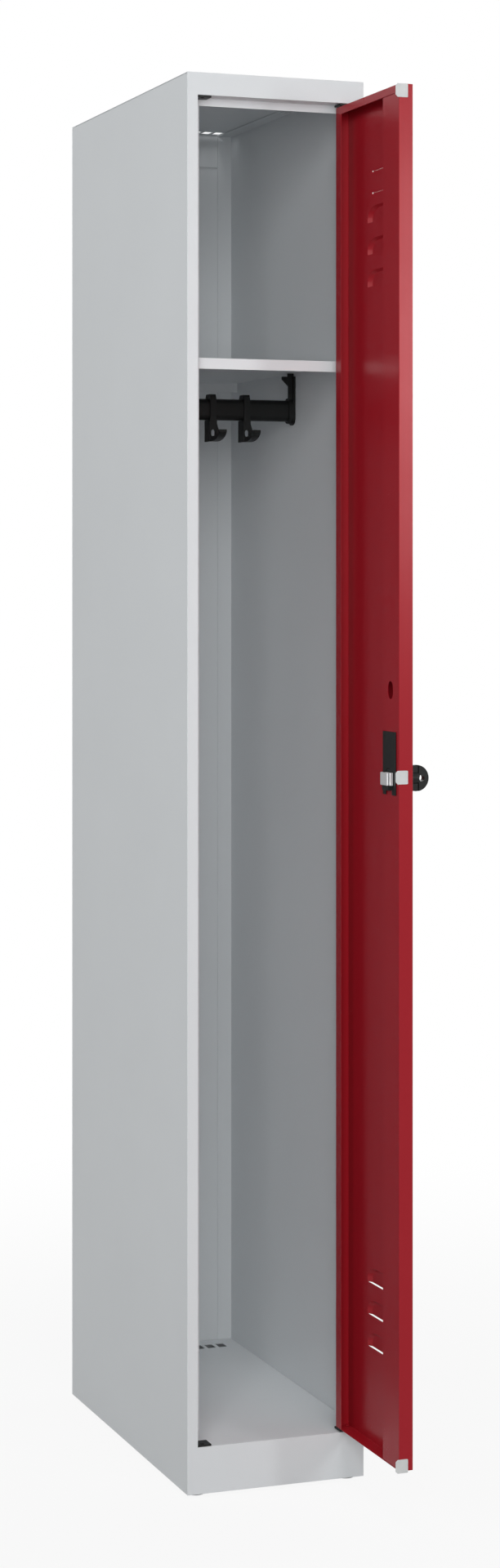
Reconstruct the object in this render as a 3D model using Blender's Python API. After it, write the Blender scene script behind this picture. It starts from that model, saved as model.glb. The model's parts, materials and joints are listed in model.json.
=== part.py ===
"""Tall single-door clothing locker in folded sheet steel.

A welded carcass holds a hat shelf and a clothes rail with three sliding hooks. The door hangs on two
pins in plastic bushes and stands open at a right angle. A padlock knob on the door drives a sliding bolt
whose jaw takes hold of the stop lip of the front frame.

Modelled in millimetres in the carcass frame: X to the right, Y to the back, Z up, with the front left
corner on the ground at zero. Door pieces are modelled in the door frame, on the hinge axis, door shut.
"""
import math

import bmesh
import bpy
from mathutils import Vector

MM = 0.001

# Overall size
WIDTH = 240.0
DEPTH = 500.0
HEIGHT = 1800.0

# Sheet and fits
SHEET = 1.0
CLEARANCE = 0.3
EDGE_ROUND = 0.35
ROUND_SEGMENTS = 32

# Front frame
POST_FACE = 14.0
FASCIA_HEIGHT = 28.5
FLOOR_HEIGHT = 63.0
STOP_SETBACK = 24.5
STOP_LIP = 10.0
BASE_FLANGE = 40.0

# Side, back, roof and floor panels
SIDE_FLANGE = 22.0
FLANGE_SLOT_WIDE = 12.0
FLANGE_SLOT_LONG = 24.0
ROOF_REAR_FLANGE = 47.0
FLOOR_FLANGE = 18.0
VENT_WIDTH = 12.0
VENT_LENGTH = 20.0
VENT_PITCH = 16.6
ROOF_VENT_FROM_BACK = 11.0
FLOOR_VENT_FROM_BACK = 25.0

# Foot glides
FOOT_HEIGHT = 4.0
FOOT_DIAMETER = 23.0
FOOT_STEM_DIAMETER = 10.0
FOOT_STEM_LENGTH = 8.0
FOOT_FROM_SIDE = 17.4
FOOT_FROM_FRONT = 20.0

# Hat shelf
SHELF_HEIGHT = 1441.5
SHELF_FLANGE = 14.0
SHELF_FRONT_SETBACK = 28.0
SHELF_REAR_SPACE = 28.0

# Clothes rail, its brackets and its hooks
RAIL_CENTRE_DEPTH = 250.0
RAIL_DROP = 52.5
RAIL_TALL = 29.0
RAIL_DEEP = 15.0
RAIL_WALL = 1.5
BRACKET_PLATE = 3.0
BRACKET_ARM = 5.6
BRACKET_ARM_DEEP = 3.0
BRACKET_ARM_FRONT = 6.0
BRACKET_PLATE_DROP = 2.0
BRACKET_SOCKET_WALL = 2.6
BRACKET_LUG_REACH = 9.0
BRACKET_LUG_TALL = 4.0
BRACKET_GUSSET = 9.0
BRACKET_HEAD_TALL = 4.5
HOOK_COUNT = 3
HOOK_PITCH = 48.5
HOOK_BAND = 8.5
HOOK_RING_WALL = 2.6
HOOK_RING_CROWN = 5.6
HOOK_STEM_WIDE = 10.4
HOOK_PLATE = 5.0
HOOK_RIB = 2.0
HOOK_RIB_DEEP = 21.6
HOOK_DROP = 29.0
HOOK_PRONG_WIDE = 10.0
HOOK_PRONG_SHIFT = 1.5
HOOK_PRONG_REACH = 36.0
HOOK_PRONG_RISE = 14.7
HOOK_PRONG_TIP = 5.0
HOOK_THROAT_FLOOR = 7.0
HOOK_THROAT_CURVE = 10.0
HOOK_BOSS_DIAMETER = 17.4
HOOK_FLARE = 12.5
HOOK_EYE_WIDE = 6.2
HOOK_EYE_TALL = 10.0
HOOK_EYE_RISE = 6.5

# Door pan
DOOR_DEPTH = 18.0
DOOR_HINGE_GAP = 2.0
DOOR_LOCK_GAP = 2.6
DOOR_TOP_GAP = 5.5
DOOR_BOTTOM_GAP = 5.5
DOOR_OPEN_DEG = 90.0
HINGE_LIP = 18.0
TOP_LIP = 10.0
TOP_NOTCH_WIDE = 2.0
TOP_NOTCH_TALL = 3.0
TOP_NOTCH_FROM_MIDDLE = 9.0
STIFFENER_WIDE = 52.0

# Hinge pins and corner bushes
PIVOT_FROM_EDGE = 5.0
PIVOT_FROM_FACE = 4.5
PIN_DIAMETER = 5.0
PIN_HEAD_DIAMETER = 6.4
PIN_HEAD_TALL = 1.0
PIN_COLLAR_DIAMETER = 8.6
BUSH_WIDE = 18.0
BUSH_DEEP = 20.0
BUSH_THICK = 2.6
BUSH_FRONT_SETBACK = 0.4

# Louvres and label slits
LOUVRE_COUNT = 3
LOUVRE_PITCH = 40.6
LOUVRE_LENGTH = 82.0
LOUVRE_TALL = 22.0
LOUVRE_PROUD = 4.0
LOUVRE_SLOPE = 3.6
LOUVRE_TAPER = 9.0
LOUVRE_CORNER_WIDE = 30.0
LOUVRE_CORNER_TALL = 15.0
LOUVRE_STEPS = 5
UPPER_LOUVRE_FROM_TOP = 154.5
LOWER_LOUVRE_FROM_BOTTOM = 119.0
LABEL_WIDE = 44.0
LABEL_TALL = 27.6
LABEL_SLIT = 0.2
LABEL_NOTCH_WIDE = 4.0
LABEL_NOTCH_TALL = 1.9
LABEL_FROM_TOP = 91.0

# Edge pads
PAD_TALL = 16.8
PAD_ON_EDGE = 11.3
PAD_PROUD = 5.2
PAD_THICK = 0.6
PAD_CHAMFER = 2.8
PAD_ROUND = 1.3
PAD_BELOW_DOOR = 2.2
PAD_ABOVE_LOCK = 3.0

# Padlock latch
LOCK_HEIGHT = 914.0
LOCK_FROM_EDGE = 30.0
ROSETTE_DIAMETER = 33.0
ROSETTE_THICK = 2.0
BARREL_DIAMETER = 18.0
SPINDLE_DIAMETER = 8.0
KNOB_DIAMETER = 32.6
KNOB_CENTRE_OUT = 15.9
KNOB_STEP_OUT = 19.3
KNOB_GRIP_THICK = 9.4
KNOB_WEB_THICK = 5.4
KNOB_NECK_DIAMETER = 15.0
PADLOCK_HOLE = 8.0
PADLOCK_HOLE_OUT = 22.6
NUT_ACROSS = 24.0
NUT_THICK = 4.0
LOCK_PLATE_WIDE = 40.0
LOCK_PLATE_SHIFT = 1.2
LOCK_PLATE_THICK = 1.2
LOCK_PLATE_UP = 58.0
LOCK_PLATE_DOWN = 20.0
LOCK_FORK_WIDE = 19.0
LOCK_FORK_TALL = 6.0
LOCK_GUIDE_PROUD = 5.0
SPARE_SLOT_WIDE = 16.0
SPARE_SLOT_TALL = 22.0
SPARE_SLOT_FROM_EDGE = 28.0
SPARE_SLOT_UP = 109.0
CRANK_DIAMETER = 24.0
CRANK_RADIUS = 9.2
CRANK_PIN_DIAMETER = 4.0
CRANK_PIN_PLAY = 0.35
BOLT_TALL = 15.8
BOLT_FRONT_FROM_EDGE = 15.0
BOLT_LONG = 24.0
BOLT_TAIL = 4.0
BOLT_NOSE_THICK = 1.2
BOLT_NOSE_SETBACK = 2.0
BOLT_JAW_DEEP = 9.0

# Worked out from the sizes above
FRAME_TOP = HEIGHT - FASCIA_HEIGHT
CENTRE_X = WIDTH / 2
PIVOT_X = WIDTH - POST_FACE - DOOR_HINGE_GAP - PIVOT_FROM_EDGE
PIVOT_Y = PIVOT_FROM_FACE
DOOR_WIDTH = WIDTH - 2 * POST_FACE - DOOR_HINGE_GAP - DOOR_LOCK_GAP
DOOR_BOTTOM = FLOOR_HEIGHT + DOOR_BOTTOM_GAP
DOOR_TOP = FRAME_TOP - DOOR_TOP_GAP
HINGE_EDGE = PIVOT_FROM_EDGE
FREE_EDGE = PIVOT_FROM_EDGE - DOOR_WIDTH
OUTER_FACE = -PIVOT_FROM_FACE
INNER_FACE = OUTER_FACE + DOOR_DEPTH
LOCK_X = FREE_EDGE + LOCK_FROM_EDGE
PLATE_FACE = INNER_FACE + CLEARANCE + LOCK_PLATE_THICK
RAIL_Z = SHELF_HEIGHT - RAIL_DROP
BRACKET_WALL_X = SHEET + CLEARANCE
RAIL_END_X = BRACKET_WALL_X + BRACKET_PLATE + CLEARANCE
BRACKET_FACE_X = BRACKET_WALL_X + BRACKET_PLATE + BRACKET_ARM
BRACKET_DEEP = RAIL_DEEP + 2 * (CLEARANCE + BRACKET_SOCKET_WALL)
HOOK_RING_HALF = RAIL_DEEP / 2 + CLEARANCE + HOOK_RING_WALL
HOOK_EYE_Z = -RAIL_TALL / 2 - HOOK_DROP + HOOK_EYE_RISE + HOOK_EYE_TALL / 2
CRANK_POCKET = CRANK_DIAMETER / 2 + 2 * CLEARANCE
CRANK_OFFSET = CRANK_RADIUS * math.sqrt(0.5)
DOOR_MIDDLE = HINGE_EDGE - DOOR_WIDTH / 2


def finish(name, rgb, roughness, metallic=0.0):
    """A Principled material in the piece's own colour."""
    material = bpy.data.materials.new(name)
    material.use_nodes = True
    shader = material.node_tree.nodes["Principled BSDF"]
    shader.inputs["Base Color"].default_value = (*rgb, 1.0)
    shader.inputs["Roughness"].default_value = roughness
    shader.inputs["Metallic"].default_value = metallic
    return material


def add_object(name, mesh, material=None, parent=None):
    """Links a mesh to the scene under a parent empty."""
    piece = bpy.data.objects.new(name, mesh)
    bpy.context.scene.collection.objects.link(piece)
    if material:
        mesh.materials.append(material)
    piece.parent = parent
    return piece


def add_axis(name, at, parent=None, turn_deg=0.0):
    """An empty that carries the pieces of one body."""
    axis = bpy.data.objects.new(name, None)
    bpy.context.scene.collection.objects.link(axis)
    axis.parent = parent
    axis.location = Vector(at) * MM
    axis.rotation_euler.z = math.radians(turn_deg)
    return axis


def mesh_from(name, build):
    """A mesh filled by a function that works on a bmesh in millimetres."""
    shape = bmesh.new()
    build(shape)
    bmesh.ops.recalc_face_normals(shape, faces=shape.faces)
    bmesh.ops.scale(shape, vec=(MM, MM, MM), verts=shape.verts)
    mesh = bpy.data.meshes.new(name)
    shape.to_mesh(mesh)
    shape.free()
    return mesh


def shade_round(piece):
    """Smooth shading across gentle angles, sharp across real edges."""
    piece.data.shade_smooth()
    piece.data.set_sharp_from_angle(angle=math.radians(35))


def boxes_shape(boxes, cuts=()):
    """A bmesh builder: the union of upright boxes less the cuts, walled where metal meets air."""
    lines = [sorted({corner[k] for box in (*boxes, *cuts) for corner in box}) for k in range(3)]

    def holds(box, middle):
        return all(box[0][k] < middle[k] < box[1][k] for k in range(3))

    def solid(cell):
        if any(not 0 <= cell[k] < len(lines[k]) - 1 for k in range(3)):
            return False
        middle = [(lines[k][cell[k]] + lines[k][cell[k] + 1]) / 2 for k in range(3)]
        return any(holds(b, middle) for b in boxes) and not any(holds(c, middle) for c in cuts)

    def build(shape):
        corners = {}

        def corner(key):
            if key not in corners:
                corners[key] = shape.verts.new([lines[k][key[k]] for k in range(3)])
            return corners[key]

        counts = [len(line) - 1 for line in lines]
        cells = [(i, j, k) for i in range(counts[0]) for j in range(counts[1]) for k in range(counts[2])]
        for cell in filter(solid, cells):
            for axis in range(3):
                for side in (0, 1):
                    step = [0, 0, 0]
                    step[axis] = 2 * side - 1
                    if solid(tuple(c + s for c, s in zip(cell, step))):
                        continue
                    u, v = [k for k in range(3) if k != axis]
                    loop = []
                    for du, dv in ((0, 0), (1, 0), (1, 1), (0, 1)):
                        key = list(cell)
                        key[axis] += side
                        key[u] += du
                        key[v] += dv
                        loop.append(corner(tuple(key)))
                    shape.faces.new(loop)
        bmesh.ops.recalc_face_normals(shape, faces=shape.faces)
        bmesh.ops.dissolve_limit(shape, angle_limit=math.radians(1), verts=shape.verts, edges=shape.edges)
    return build


def banded(build, levels):
    """The same shape with its faces parted at some heights, so that each part takes one cut-out."""
    def parted(shape):
        build(shape)
        for z in levels:
            everything = [*shape.verts, *shape.edges, *shape.faces]
            bmesh.ops.bisect_plane(shape, geom=everything, plane_co=(0, 0, z), plane_no=(0, 0, 1))
    return parted


def prism_shape(outline, axis, low, high):
    """A bmesh builder: a flat outline, given in the other two axes in order, swept along an axis."""
    across = [k for k in range(3) if k != axis]

    def build(shape):
        ends = []
        for level in (low, high):
            ring = []
            for a, b in outline:
                point = [0.0, 0.0, 0.0]
                point[axis] = level
                point[across[0]] = a
                point[across[1]] = b
                ring.append(shape.verts.new(point))
            ends.append(ring)
        shape.faces.new(ends[0])
        shape.faces.new(ends[1])
        count = len(outline)
        for i in range(count):
            j = (i + 1) % count
            shape.faces.new((ends[0][i], ends[0][j], ends[1][j], ends[1][i]))
    return build


def turned_shape(profile, axis, centre):
    """A bmesh builder: stacked discs (level, radius) turned about an axis through the centre."""
    across = [k for k in range(3) if k != axis]

    def build(shape):
        rings = []
        for level, radius in profile:
            ring = []
            for i in range(ROUND_SEGMENTS):
                angle = 2 * math.pi * i / ROUND_SEGMENTS
                point = [0.0, 0.0, 0.0]
                point[axis] = level
                point[across[0]] = centre[0] + radius * math.cos(angle)
                point[across[1]] = centre[1] + radius * math.sin(angle)
                ring.append(shape.verts.new(point))
            rings.append(ring)
        shape.faces.new(rings[0])
        shape.faces.new(rings[-1])
        for lower, upper in zip(rings, rings[1:]):
            for i in range(ROUND_SEGMENTS):
                j = (i + 1) % ROUND_SEGMENTS
                shape.faces.new((lower[i], lower[j], upper[j], upper[i]))
    return build


def hull_shape(groups):
    """A bmesh builder: one convex solid for each group of points."""
    def build(shape):
        for points in groups:
            verts = [shape.verts.new(point) for point in points]
            bmesh.ops.convex_hull(shape, input=verts)
    return build


def arc(centre, radius, start_deg, end_deg, steps):
    """Points of an arc, both ends included."""
    points = []
    for i in range(steps + 1):
        angle = math.radians(start_deg + (end_deg - start_deg) * i / steps)
        points.append((centre[0] + radius * math.cos(angle), centre[1] + radius * math.sin(angle)))
    return points


def oval(centre, wide, tall, steps=8):
    """A stadium outline with round ends along its longer side."""
    radius = min(wide, tall) / 2
    reach = abs(tall - wide) / 2
    if tall >= wide:
        top = arc((centre[0], centre[1] + reach), radius, 0, 180, steps)
        return top + arc((centre[0], centre[1] - reach), radius, 180, 360, steps)
    right = arc((centre[0] + reach, centre[1]), radius, -90, 90, steps)
    return right + arc((centre[0] - reach, centre[1]), radius, 90, 270, steps)


def box(x0, x1, y0, y1, z0, z1):
    """Two opposite corners of an upright box."""
    return (x0, y0, z0), (x1, y1, z1)


def mirrored(boxes):
    """The same boxes on the other side of the carcass."""
    return [box(WIDTH - b[0], WIDTH - a[0], a[1], b[1], a[2], b[2]) for a, b in boxes]


def piece_from(name, build, material, parent):
    return add_object(name, mesh_from(name, build), material, parent)


def round_edges(piece, width=EDGE_ROUND, segments=1):
    """A narrow bevel on the sharp edges."""
    bevel = piece.modifiers.new("edges", "BEVEL")
    bevel.width = width * MM
    bevel.segments = segments
    bevel.limit_method = "ANGLE"
    bevel.angle_limit = math.radians(40)
    bevel.use_clamp_overlap = True


def combine(piece, operation, name, build, parent):
    """Joins or cuts a piece with a hidden tool shape."""
    tool = add_object(name, mesh_from(name, build), None, parent)
    tool.hide_render = True
    tool.hide_set(True)
    tool.display_type = "WIRE"
    boolean = piece.modifiers.new(name, "BOOLEAN")
    boolean.operation = operation
    boolean.solver = "EXACT"
    boolean.object = tool


def vent_cuts(low, high, from_back):
    """A row of ventilation slots between the side flanges."""
    room = WIDTH - 2 * (SIDE_FLANGE - CLEARANCE)
    count = int((room - VENT_WIDTH) / VENT_PITCH) + 1
    first = CENTRE_X - ((count - 1) * VENT_PITCH + VENT_WIDTH) / 2
    depth = (DEPTH - from_back - VENT_LENGTH, DEPTH - from_back)
    lefts = [first + i * VENT_PITCH for i in range(count)]
    return [box(left, left + VENT_WIDTH, *depth, low, high) for left in lefts]


def make_front_frame(paint, carcass):
    """Welded frame: posts, fascia and plinth, with the returns and stop lips the door closes on."""
    stop = (STOP_SETBACK, STOP_SETBACK + SHEET)
    tall = (FLOOR_HEIGHT + CLEARANCE, FRAME_TOP + SHEET)
    post = [box(0, POST_FACE, 0, SHEET, FOOT_HEIGHT, HEIGHT),
            box(POST_FACE - SHEET, POST_FACE, 0, stop[1], *tall),
            box(POST_FACE - SHEET, POST_FACE + STOP_LIP, *stop, *tall)]
    between = (POST_FACE - SHEET, WIDTH - POST_FACE + SHEET)
    inside = (SHEET + CLEARANCE, WIDTH - SHEET - CLEARANCE)
    rails = [box(0, WIDTH, 0, SHEET, FRAME_TOP, HEIGHT),
             box(*between, 0, stop[1], FRAME_TOP, FRAME_TOP + SHEET),
             box(*between, *stop, FRAME_TOP - STOP_LIP, FRAME_TOP + SHEET),
             box(0, WIDTH, 0, SHEET, FOOT_HEIGHT, FLOOR_HEIGHT),
             box(*inside, 0, BASE_FLANGE, FOOT_HEIGHT, FOOT_HEIGHT + SHEET)]
    frame = piece_from("front_frame", boxes_shape(post + mirrored(post) + rails), paint, carcass)
    round_edges(frame)
    for side, x in (("left", FOOT_FROM_SIDE), ("right", WIDTH - FOOT_FROM_SIDE)):
        combine(frame, "DIFFERENCE", f"front_foot_hole_{side}", foot_hole(x, FOOT_FROM_FRONT), carcass)


def foot_hole(x, y):
    radius = FOOT_STEM_DIAMETER / 2 + CLEARANCE
    return turned_shape([(FOOT_HEIGHT - SHEET, radius), (FOOT_HEIGHT + 2 * SHEET, radius)], 2, (x, y))


def make_side_panels(paint, carcass):
    """Side walls with flanges at the top and the back, and a base flange that carries the rear feet."""
    top = HEIGHT - SHEET - CLEARANCE
    front = SHEET + CLEARANCE
    rear = DEPTH - SHEET - CLEARANCE
    behind_frame = STOP_SETBACK + SHEET + CLEARANCE
    left = [box(0, SHEET, front, rear, FOOT_HEIGHT, top),
            box(0, SIDE_FLANGE, rear - SHEET, rear, FOOT_HEIGHT, top),
            box(0, SIDE_FLANGE, behind_frame, rear, top - SHEET, top),
            box(0, BASE_FLANGE, BASE_FLANGE + CLEARANCE, rear, FOOT_HEIGHT, FOOT_HEIGHT + SHEET)]
    slot_x = (SIDE_FLANGE + SHEET) / 2
    slot = [box(slot_x - FLANGE_SLOT_WIDE / 2, slot_x + FLANGE_SLOT_WIDE / 2,
                (DEPTH - FLANGE_SLOT_LONG) / 2, (DEPTH + FLANGE_SLOT_LONG) / 2, top - SHEET, top)]
    sides = {"left": (left, slot, FOOT_FROM_SIDE),
             "right": (mirrored(left), mirrored(slot), WIDTH - FOOT_FROM_SIDE)}
    for side, (boxes, cut, x) in sides.items():
        panel = piece_from(f"{side}_side_panel", boxes_shape(boxes, cut), paint, carcass)
        round_edges(panel)
        hole = foot_hole(x, DEPTH - FOOT_FROM_FRONT)
        combine(panel, "DIFFERENCE", f"rear_foot_hole_{side}", hole, carcass)


def make_back_panel(paint, carcass):
    """Rear sheet behind the side flanges."""
    sheet = box(0, WIDTH, DEPTH - SHEET, DEPTH, FOOT_HEIGHT, HEIGHT - SHEET - CLEARANCE)
    panel = piece_from("back_panel", boxes_shape([sheet]), paint, carcass)
    round_edges(panel)


def make_roof(paint, carcass):
    """Roof sheet on the side flanges, with a flange down the back and a row of vents."""
    under = HEIGHT - SHEET
    rear = DEPTH - SHEET - CLEARANCE
    inset = SIDE_FLANGE + CLEARANCE
    boxes = [box(0, WIDTH, SHEET + CLEARANCE, DEPTH, under, HEIGHT),
             box(inset, WIDTH - inset, rear - SHEET, rear, HEIGHT - ROOF_REAR_FLANGE, HEIGHT)]
    cuts = vent_cuts(under, HEIGHT, ROOF_VENT_FROM_BACK)
    piece_from("roof_panel", boxes_shape(boxes, cuts), paint, carcass)


def make_floor(paint, carcass):
    """Floor sheet level with the plinth, with turned-down flanges and a row of vents."""
    inset = SHEET + CLEARANCE
    rear = DEPTH - 2 * SHEET - 2 * CLEARANCE
    low = FLOOR_HEIGHT - FLOOR_FLANGE
    side = [box(inset, inset + SHEET, inset, rear, low, FLOOR_HEIGHT)]
    boxes = [box(inset, WIDTH - inset, inset, rear, FLOOR_HEIGHT - SHEET, FLOOR_HEIGHT),
             box(inset, WIDTH - inset, inset, inset + SHEET, low, FLOOR_HEIGHT),
             box(inset, WIDTH - inset, rear - SHEET, rear, low, FLOOR_HEIGHT)]
    cuts = vent_cuts(FLOOR_HEIGHT - SHEET, FLOOR_HEIGHT, FLOOR_VENT_FROM_BACK)
    piece_from("floor_panel", boxes_shape(boxes + side + mirrored(side), cuts), paint, carcass)


def make_shelf(paint, carcass):
    """Hat shelf between the side walls, with a flange down its front and its back edge."""
    across = (SHEET + CLEARANCE, WIDTH - SHEET - CLEARANCE)
    front = SHELF_FRONT_SETBACK
    rear = DEPTH - SHELF_REAR_SPACE
    tall = (SHELF_HEIGHT - SHELF_FLANGE, SHELF_HEIGHT)
    boxes = [box(*across, front, rear, SHELF_HEIGHT - SHEET, SHELF_HEIGHT),
             box(*across, front, front + SHEET, *tall),
             box(*across, rear - SHEET, rear, *tall)]
    shelf = piece_from("hat_shelf", boxes_shape(boxes), paint, carcass)
    round_edges(shelf)


def make_feet(plastic, carcass):
    """Push-in glides under the four corners."""
    places = {"front_left": (FOOT_FROM_SIDE, FOOT_FROM_FRONT),
              "front_right": (WIDTH - FOOT_FROM_SIDE, FOOT_FROM_FRONT),
              "rear_left": (FOOT_FROM_SIDE, DEPTH - FOOT_FROM_FRONT),
              "rear_right": (WIDTH - FOOT_FROM_SIDE, DEPTH - FOOT_FROM_FRONT)}
    edge = FOOT_DIAMETER / 2
    stem = FOOT_STEM_DIAMETER / 2
    shoulder = FOOT_HEIGHT - CLEARANCE
    profile = [(0, edge - EDGE_ROUND), (EDGE_ROUND, edge), (shoulder, edge), (shoulder, stem),
               (FOOT_HEIGHT + FOOT_STEM_LENGTH, stem)]
    for place, centre in places.items():
        foot = piece_from(f"foot_{place}", turned_shape(profile, 2, centre), plastic, carcass)
        shade_round(foot)


def make_bushes(plastic, carcass):
    """Corner bushes in the door opening. Both sides have them, so that the door can be hung on either."""
    depth = (BUSH_FRONT_SETBACK, BUSH_FRONT_SETBACK + BUSH_DEEP)
    levels = {"top": (FRAME_TOP - CLEARANCE - BUSH_THICK, FRAME_TOP - CLEARANCE),
              "bottom": (FLOOR_HEIGHT + CLEARANCE, FLOOR_HEIGHT + CLEARANCE + BUSH_THICK)}
    inner = WIDTH - POST_FACE - CLEARANCE
    sides = {"left": (WIDTH - inner, WIDTH - inner + BUSH_WIDE, WIDTH - PIVOT_X),
             "right": (inner - BUSH_WIDE, inner, PIVOT_X)}
    radius = PIN_DIAMETER / 2 + CLEARANCE
    for level, heights in levels.items():
        for side, (x0, x1, pin_x) in sides.items():
            bush = piece_from(f"corner_bush_{level}_{side}", boxes_shape([box(x0, x1, *depth, *heights)]),
                              plastic, carcass)
            round_edges(bush)
            span = [(heights[0] - SHEET, radius), (heights[1] + SHEET, radius)]
            hole = turned_shape(span, 2, (pin_x, PIVOT_Y))
            combine(bush, "DIFFERENCE", f"pin_hole_{level}_{side}", hole, carcass)


def make_rail(steel, plastic, carcass):
    """Oval clothes rail between two end brackets that hang under the shelf."""
    outline = oval((RAIL_CENTRE_DEPTH, RAIL_Z), RAIL_DEEP, RAIL_TALL)
    tube = prism_shape(outline, 0, RAIL_END_X, WIDTH - RAIL_END_X)
    rail = piece_from("clothes_rail", tube, steel, carcass)
    bore = oval((RAIL_CENTRE_DEPTH, RAIL_Z), RAIL_DEEP - 2 * RAIL_WALL, RAIL_TALL - 2 * RAIL_WALL)
    combine(rail, "DIFFERENCE", "rail_bore", prism_shape(bore, 0, 0, WIDTH), carcass)
    shade_round(rail)
    for side in ("left", "right"):
        make_bracket(side, plastic, carcass)


def make_bracket(side, plastic, carcass):
    """End bracket: a wall plate, an arm up to the shelf and a socket round the rail's end."""
    middle = (RAIL_CENTRE_DEPTH, RAIL_Z)
    wall = 2 * (CLEARANCE + BRACKET_SOCKET_WALL)
    socket = oval(middle, RAIL_DEEP + 2 * CLEARANCE, RAIL_TALL + 2 * CLEARANCE)
    holder = oval(middle, RAIL_DEEP + wall, RAIL_TALL + wall)
    inner = BRACKET_WALL_X + BRACKET_PLATE
    plate = prism_shape(bracket_plate(), 0, *on_side(side, BRACKET_WALL_X, inner))
    bracket = piece_from(f"rail_bracket_{side}", plate, plastic, carcass)
    combine(bracket, "UNION", f"bracket_arm_{side}", bracket_arm(side), carcass)
    sleeve = prism_shape(holder, 0, *on_side(side, BRACKET_WALL_X + SHEET, BRACKET_FACE_X))
    combine(bracket, "UNION", f"bracket_holder_{side}", sleeve, carcass)
    bore = prism_shape(socket, 0, *on_side(side, inner, BRACKET_FACE_X + BRACKET_LUG_REACH))
    combine(bracket, "DIFFERENCE", f"rail_socket_{side}", bore, carcass)
    shade_round(bracket)


def on_side(side, near, far):
    """Two distances from a side wall, as X values in rising order."""
    return (near, far) if side == "left" else (WIDTH - far, WIDTH - near)


def bracket_plate():
    """Wall plate of a bracket: straight sides, round at the bottom."""
    half = BRACKET_DEEP / 2
    centre = RAIL_Z - (RAIL_TALL - RAIL_DEEP) / 2 - BRACKET_PLATE_DROP
    top = SHELF_HEIGHT - SHEET - CLEARANCE - BRACKET_HEAD_TALL
    bottom = arc((RAIL_CENTRE_DEPTH, centre), half, 180, 360, 12)
    return bottom + [(RAIL_CENTRE_DEPTH + half, top), (RAIL_CENTRE_DEPTH - half, top)]


def bracket_arm(side):
    """Front view of a bracket's arm: a head under the shelf and a lug on a gusset."""
    under = SHELF_HEIGHT - SHEET - CLEARANCE
    head = under - BRACKET_HEAD_TALL
    lug = BRACKET_FACE_X + BRACKET_LUG_REACH
    gusset = head - BRACKET_LUG_TALL
    start = BRACKET_WALL_X + SHEET
    step = BRACKET_FACE_X + SHEET
    outline = [(start, RAIL_Z), (BRACKET_FACE_X, RAIL_Z), (BRACKET_FACE_X, gusset - BRACKET_GUSSET),
               (lug, gusset), (lug, head), (step, head), (step, under), (start, under)]
    front = RAIL_CENTRE_DEPTH - BRACKET_ARM_FRONT
    places = [(x if side == "left" else WIDTH - x, z) for x, z in outline]
    return prism_shape(places, 1, front, front + BRACKET_ARM_DEEP)


def make_hooks(plastic, carcass):
    """Coat hooks that slide along the rail, each on its own axis."""
    for number in range(HOOK_COUNT):
        x = CENTRE_X + (number - (HOOK_COUNT - 1) / 2) * HOOK_PITCH
        slider = add_axis(f"hook_{number + 1}_slide", (x, RAIL_CENTRE_DEPTH, RAIL_Z), carcass)
        hook = piece_from(f"hook_{number + 1}", hook_plate(), plastic, slider)
        combine(hook, "UNION", f"hook_{number + 1}_prong", hook_prong(), slider)
        combine(hook, "UNION", f"hook_{number + 1}_rib", hook_rib(), slider)
        combine(hook, "UNION", f"hook_{number + 1}_ring", hook_ring(), slider)
        bore = oval((0, 0), RAIL_DEEP + 2 * CLEARANCE, RAIL_TALL + 2 * CLEARANCE)
        combine(hook, "DIFFERENCE", f"hook_{number + 1}_bore",
                prism_shape(bore, 0, -HOOK_STEM_WIDE, HOOK_STEM_WIDE), slider)
        eye = oval((0, HOOK_EYE_Z), HOOK_EYE_WIDE, HOOK_EYE_TALL)
        combine(hook, "DIFFERENCE", f"hook_{number + 1}_eye",
                prism_shape(eye, 1, -HOOK_RING_HALF - SHEET, HOOK_PLATE - HOOK_RING_HALF + SHEET), slider)


def hook_ring():
    """Band round the rail, with a flat crown."""
    half = HOOK_RING_HALF
    top = RAIL_TALL / 2 + CLEARANCE + HOOK_RING_CROWN
    low = -RAIL_TALL / 2 - CLEARANCE - HOOK_RING_WALL
    shoulder = HOOK_RING_CROWN
    outline = [(-half, low), (half, low), (half, top - shoulder), (half - shoulder / 2, top),
               (shoulder / 2 - half, top), (-half, top - shoulder)]
    return prism_shape(outline, 0, -HOOK_BAND / 2, HOOK_BAND / 2)


def hook_plate():
    """Front plate of a hook: the stem below the rail, which widens into a round boss at the eye."""
    bottom = -RAIL_TALL / 2 - HOOK_DROP
    half = HOOK_STEM_WIDE / 2
    boss = HOOK_BOSS_DIAMETER / 2
    lean = math.atan2(HOOK_FLARE, half) - math.acos(boss / math.hypot(HOOK_FLARE, half))
    outline = [(-half, bottom), (half, bottom)]
    outline += arc((0, HOOK_EYE_Z), boss, -math.degrees(math.acos(half / boss)), math.degrees(lean), 6)
    outline += [(half, HOOK_EYE_Z + HOOK_FLARE), (half, -RAIL_TALL / 2), (-half, -RAIL_TALL / 2)]
    return prism_shape(outline, 1, -HOOK_RING_HALF, HOOK_PLATE - HOOK_RING_HALF)


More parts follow.
